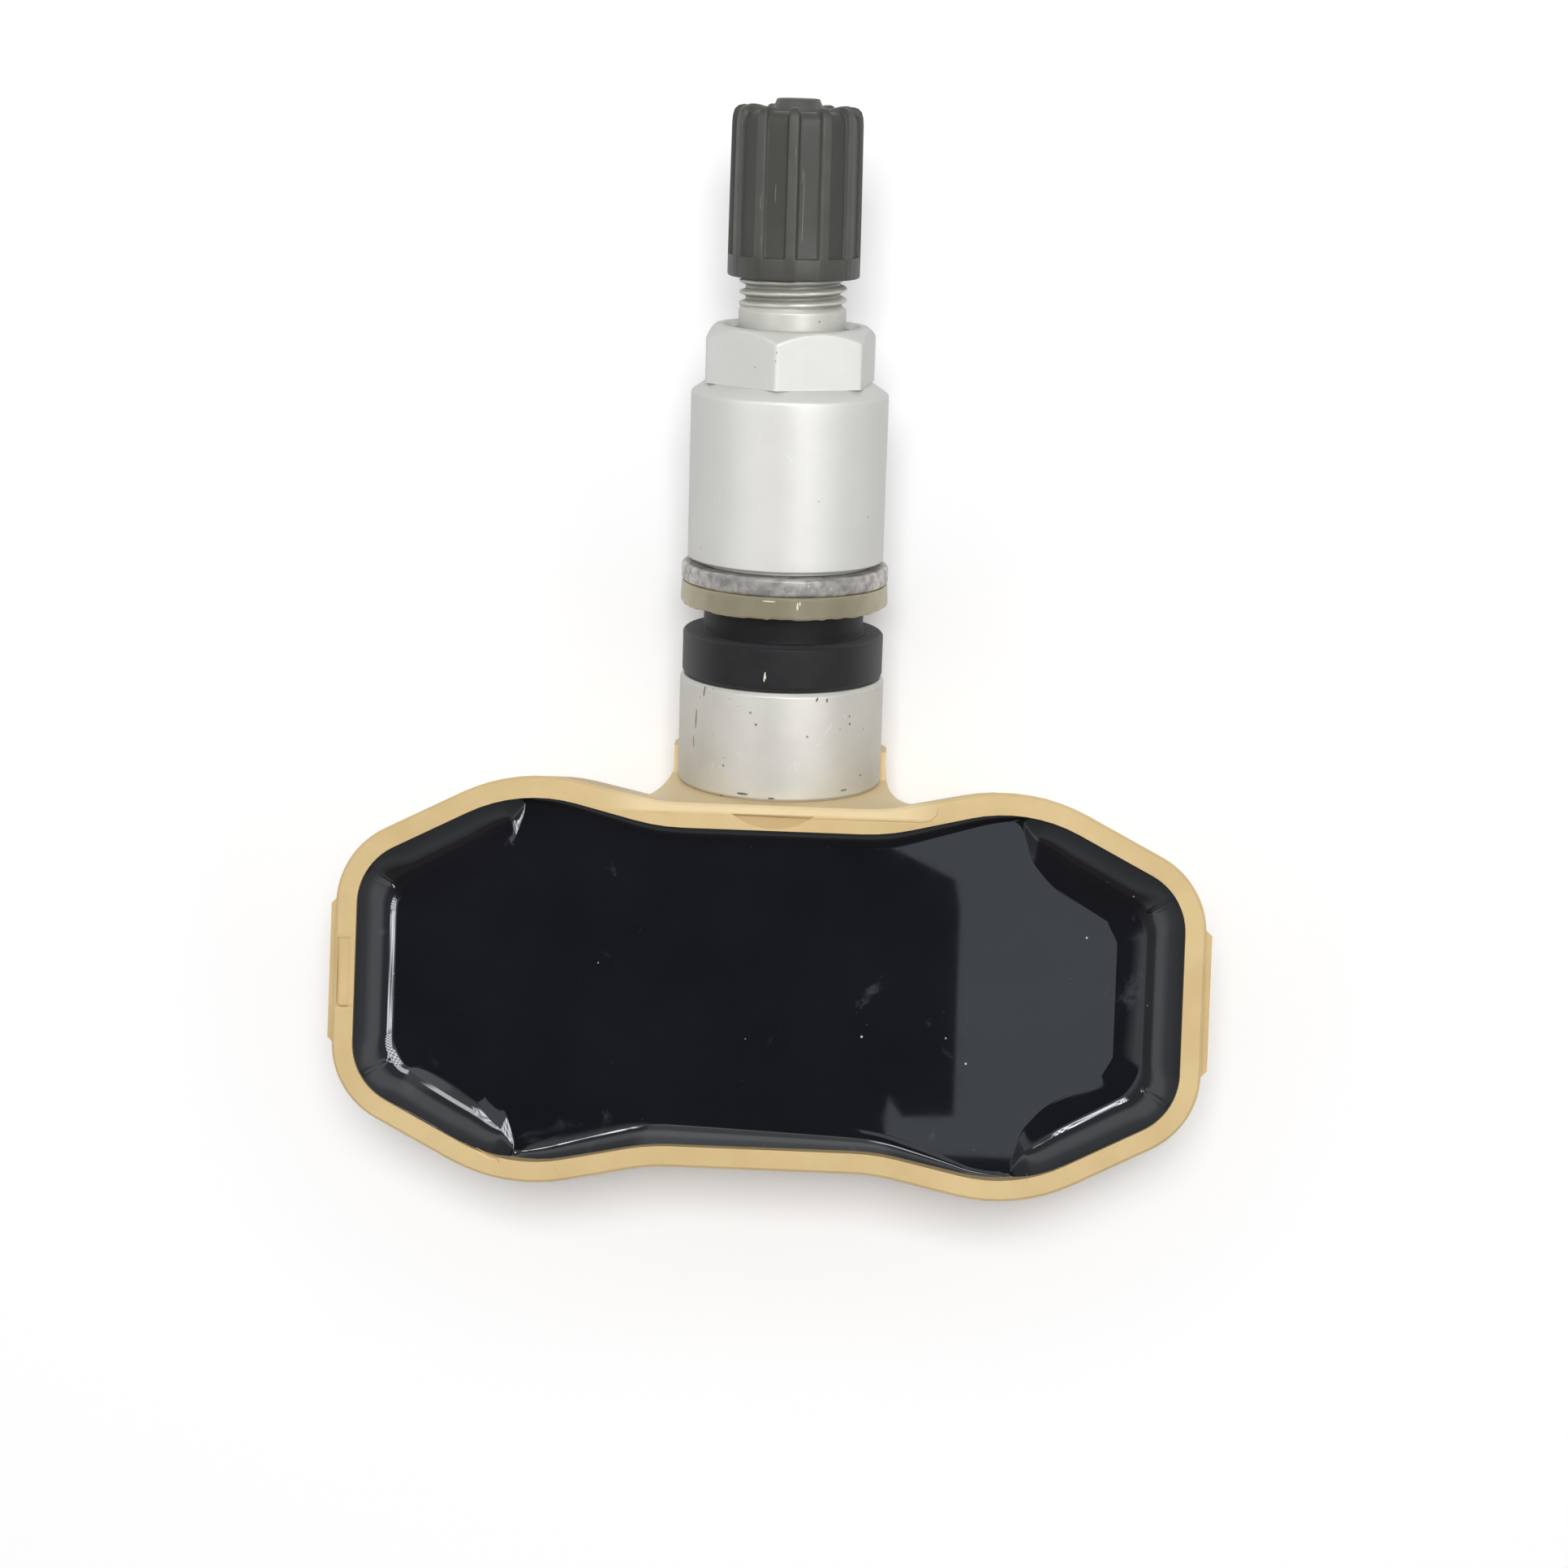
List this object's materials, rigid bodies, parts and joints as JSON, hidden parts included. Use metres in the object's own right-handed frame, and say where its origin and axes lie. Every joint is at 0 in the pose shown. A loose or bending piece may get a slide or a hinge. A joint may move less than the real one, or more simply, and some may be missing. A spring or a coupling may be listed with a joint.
{
  "type": "tyre pressure sensor",
  "caption": "Clamp-in tyre pressure sensor: a potted electronics housing with a leaning metal valve stem, seal, washers, sleeve nut and screw cap.",
  "frame": {"origin": "middle of the housing's flat back face", "axes": "+X across the housing, +Y towards the valve, +Z out of the resin face; the sensor lies on its back"},
  "size_m": [0.0636, 0.0783, 0.0232],
  "materials": {
    "housing_nylon": "moulded tan glass-filled nylon, fine matte skin",
    "potting_resin": "poured black resin, glossy, with a raised edge where it climbed the wall",
    "board_laminate": "green solder mask on glass laminate",
    "cell_can": null,
    "contact_strip": "nickel strip",
    "chip_body": "black moulded chip package",
    "port_rubber": "red-brown silicone ring",
    "filter_membrane": "white porous disc",
    "crystal_can": "pressed metal can",
    "coil_ferrite": "ferrite bobbin wound with copper wire",
    "capacitor_body": "brown ceramic",
    "antenna_strip": "stamped copper alloy strip",
    "stem_metal": "turned satin aluminium with scuffs and small dark nicks",
    "seal_rubber": "black moulded rubber, matte",
    "washer_nylon": "translucent olive-yellow nylon",
    "washer_metal": "stamped washer, mottled grey",
    "nut_metal": "bead-blasted and anodised silver, brighter milled flats",
    "core_brass": "turned brass",
    "core_gasket_plastic": "white sealing sleeve",
    "core_rubber": "black rubber",
    "spring_steel": "drawn spring wire",
    "cap_plastic": "moulded dark grey plastic, slightly worn on its ribs"
  },
  "bodies": {
    "root": {"housing": "housing_nylon", "resin": "potting_resin", "circuit_board": "board_laminate", "battery": "cell_can", "battery_top_strip": "contact_strip", "battery_bottom_strip": "contact_strip", "pressure_sensor": "chip_body", "port_seal": "port_rubber", "port_filter": "filter_membrane", "transmitter_chip": "chip_body", "motion_chip": "chip_body", "crystal": "crystal_can", "wake_up_coil": "coil_ferrite", "capacitors": "capacitor_body", "antenna": "antenna_strip", "valve_stem": "stem_metal", "rubber_seal": "seal_rubber", "nylon_washer": "washer_nylon", "core_barrel": "core_brass", "core_gasket": "core_gasket_plastic", "core_spring": "spring_steel"},
    "washer": {"metal_washer": "washer_metal"},
    "nut": {"sleeve_nut": "nut_metal"},
    "cap_seal": {"cap_seal": "core_rubber"},
    "cap": {"valve_cap": "cap_plastic"},
    "core_pin": {"core_pin": "core_brass", "core_plunger": "core_rubber"}
  },
  "joints": [
    {"name": "nut_travel", "type": "slide", "parent": "root", "child": "washer", "axis": [0, 0.9781, 0.2079], "range_m": [0, 0.0028]},
    {"name": "nut_turn", "type": "hinge", "parent": "washer", "child": "nut", "pos_m": [0, 0.0148, 0.0086], "axis": [0, 0.9781, 0.2079], "range_deg": [0, 1010]},
    {"name": "cap_travel", "type": "slide", "parent": "root", "child": "cap_seal", "axis": [0, 0.9781, 0.2079], "range_m": [0, 0.0113]},
    {"name": "cap_turn", "type": "hinge", "parent": "cap_seal", "child": "cap", "pos_m": [0, 0.0148, 0.0086], "axis": [0, 0.9781, 0.2079], "range_deg": [0, 5130]},
    {"name": "core_press", "type": "slide", "parent": "root", "child": "core_pin", "axis": [0, 0.9781, 0.2079], "range_m": [-0.001, 0], "stiffness_N_per_m": 1000, "springref_m": 0.002, "deforming": ["core_spring"]}
  ],
  "couplings": [
    {"joint": "nut_turn", "follows": "nut_travel", "rad_per_m": 6283.2},
    {"joint": "cap_turn", "follows": "cap_travel", "rad_per_m": 7913.3}
  ]
}
